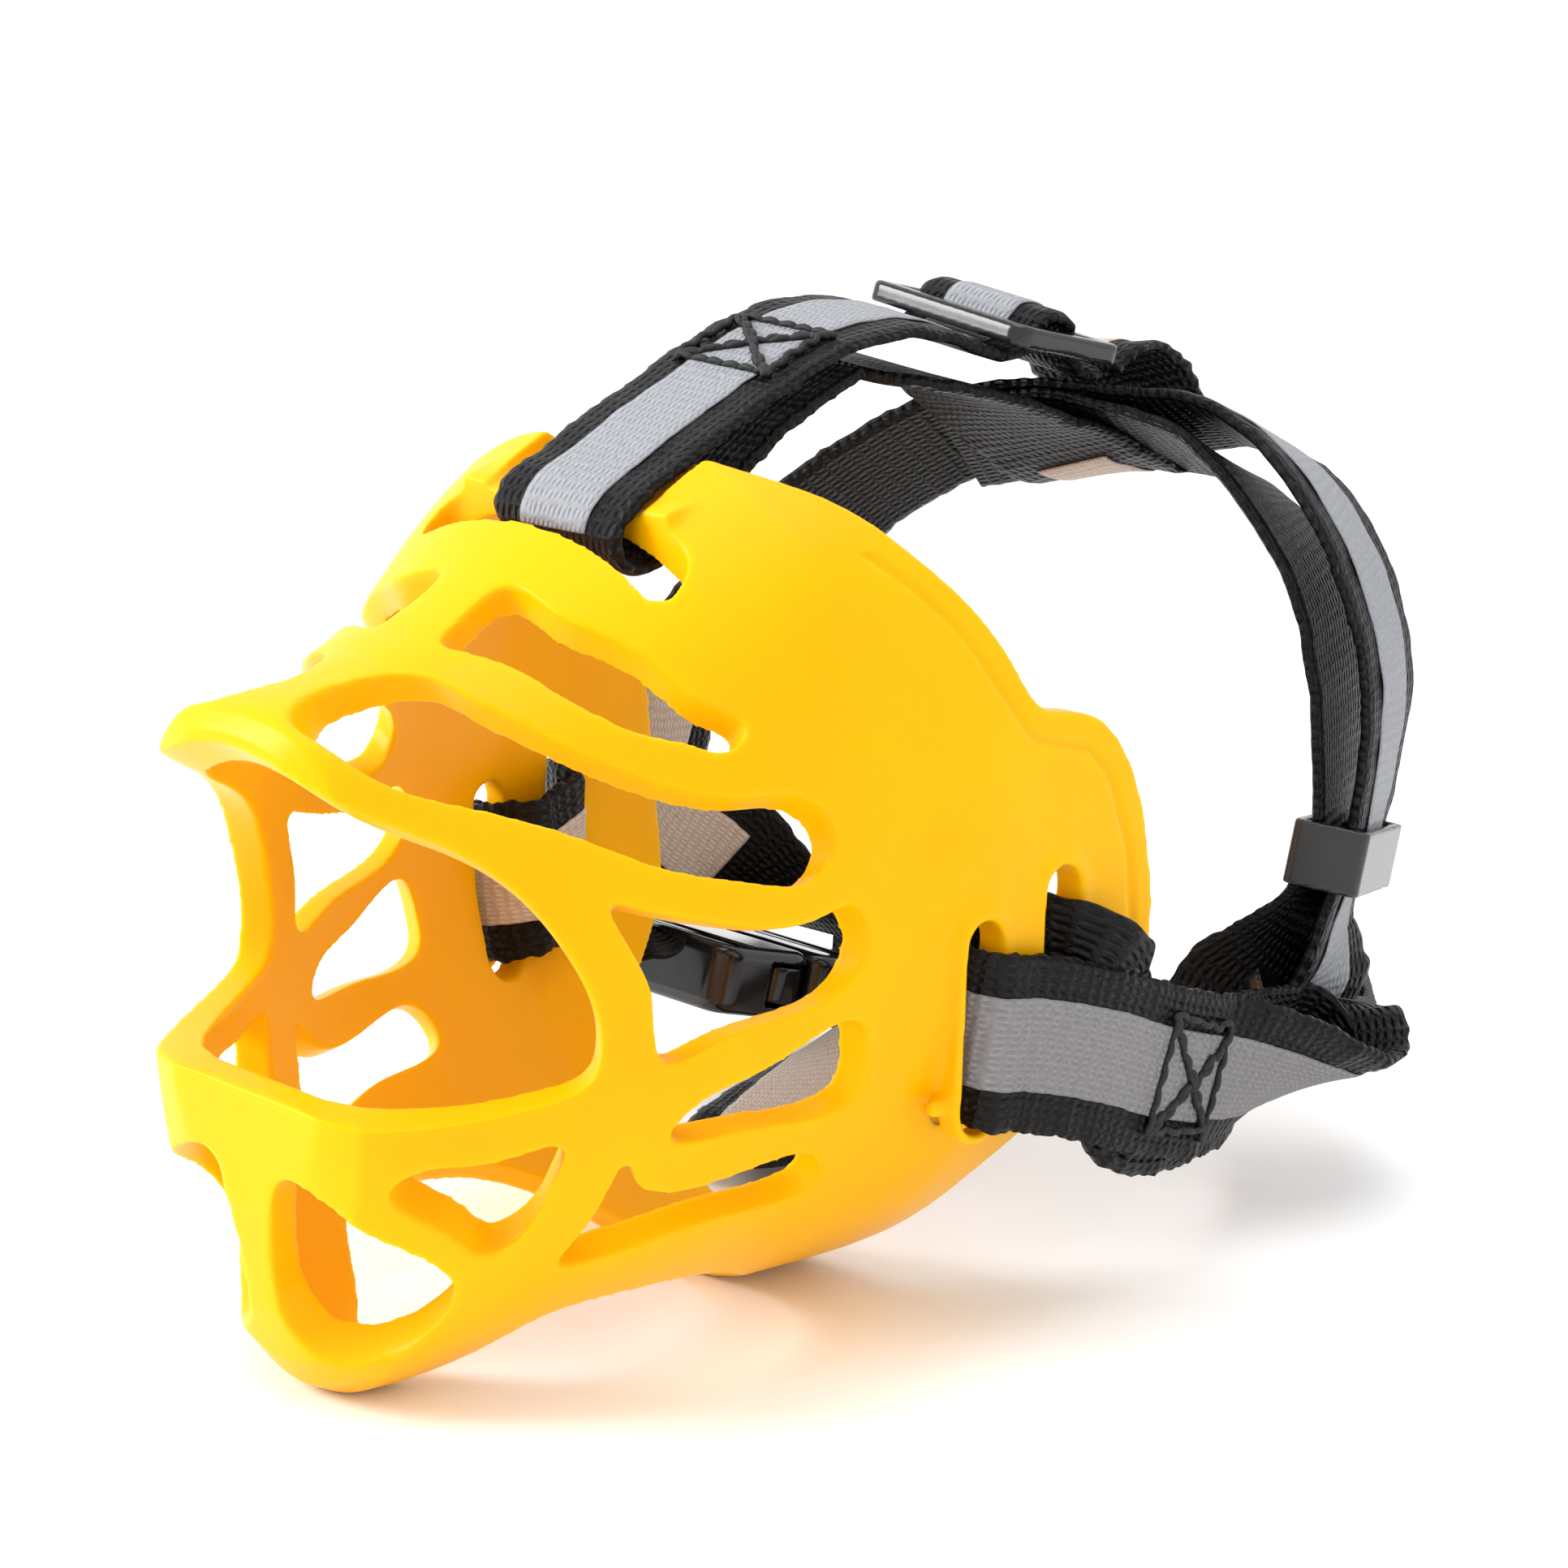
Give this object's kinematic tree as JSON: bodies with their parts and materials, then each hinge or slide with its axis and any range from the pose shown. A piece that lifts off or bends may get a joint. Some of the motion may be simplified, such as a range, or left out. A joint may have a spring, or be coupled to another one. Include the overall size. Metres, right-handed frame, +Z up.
{
  "type": "basket muzzle",
  "caption": "Moulded basket muzzle for a short snout with webbing neck and overhead straps, sliders and a side release buckle.",
  "frame": {"origin": "middle of the flat under the rear of the basket, on the surface that it rests on", "axes": "+Z up, -Y towards the nose of the basket, +X towards the side with the left slider"},
  "size_m": [0.1047, 0.1555, 0.1111],
  "materials": {
    "yellow_plastic": "satin",
    "webbing": "woven",
    "reflective_tape": "woven",
    "thread": "twisted",
    "black_plastic": "gloss"
  },
  "bodies": {
    "basket": {"basket": "yellow_plastic"},
    "harness": {"overhead_strap": "webbing", "overhead_wrap": "webbing", "neck_strap": "webbing", "neck_lining": "webbing", "left_tab": "webbing", "right_tab": "webbing", "overhead_tape": "reflective_tape", "overhead_wrap_tape": "reflective_tape", "neck_tape": "reflective_tape", "left_tab_tape": "reflective_tape", "right_tab_tape": "reflective_tape", "overhead_stitching": "thread", "left_tab_stitching": "thread", "right_tab_stitching": "thread", "buckle_socket": "black_plastic"},
    "overhead_slider": {"overhead_slider": "black_plastic"},
    "left_slider": {"left_slider": "black_plastic"},
    "keeper": {"strap_keeper": "black_plastic"},
    "plug": {"buckle_plug": "black_plastic", "buckle_tail": "webbing"},
    "prong_left": {"buckle_prong_left": "black_plastic"},
    "prong_right": {"buckle_prong_right": "black_plastic"}
  },
  "joints": [
    {"name": "harness_swing", "type": "hinge", "parent": "basket", "child": "harness", "pos_m": [0, 0.0078, 0.039], "axis": [1, 0, 0], "range_deg": [0, 8], "deforming": ["overhead_strap", "overhead_tape", "overhead_stitching", "overhead_wrap", "overhead_wrap_tape", "left_tab", "left_tab_tape", "left_tab_stitching", "right_tab", "right_tab_tape", "right_tab_stitching"]},
    {"name": "overhead_slider_slide", "type": "slide", "parent": "harness", "child": "overhead_slider", "axis": [0, 0.9724, -0.2334], "range_m": [-0.006, 0], "deforming": ["overhead_strap", "overhead_tape"]},
    {"name": "left_slider_slide", "type": "slide", "parent": "harness", "child": "left_slider", "axis": [0.5976, -0.3586, -0.7171], "range_m": [-0.004, 0], "deforming": ["left_tab", "left_tab_tape", "neck_lining"]},
    {"name": "keeper_slide", "type": "slide", "parent": "harness", "child": "keeper", "axis": [0.0302, 0.2413, 0.97], "range_m": [-0.003, 0.006], "deforming": ["neck_strap", "neck_lining", "neck_tape"]},
    {"name": "buckle_release", "type": "slide", "parent": "harness", "child": "plug", "axis": [0, 0.957, -0.29], "range_m": [0, 0.016], "deforming": ["neck_strap", "neck_tape"]},
    {"name": "prong_left_squeeze", "type": "hinge", "parent": "plug", "child": "prong_left", "pos_m": [-0.0344, 0.05096, 0.01341], "axis": [0, 0.29, 0.957], "range_deg": [-6, 0], "stiffness_Nm_per_rad": 0.02},
    {"name": "prong_right_squeeze", "type": "hinge", "parent": "plug", "child": "prong_right", "pos_m": [-0.0516, 0.05096, 0.01341], "axis": [0, 0.29, 0.957], "range_deg": [0, 6], "stiffness_Nm_per_rad": 0.02}
  ],
  "couplings": [
    {"joint": "prong_right_squeeze", "follows": "prong_left_squeeze", "ratio": -1}
  ]
}
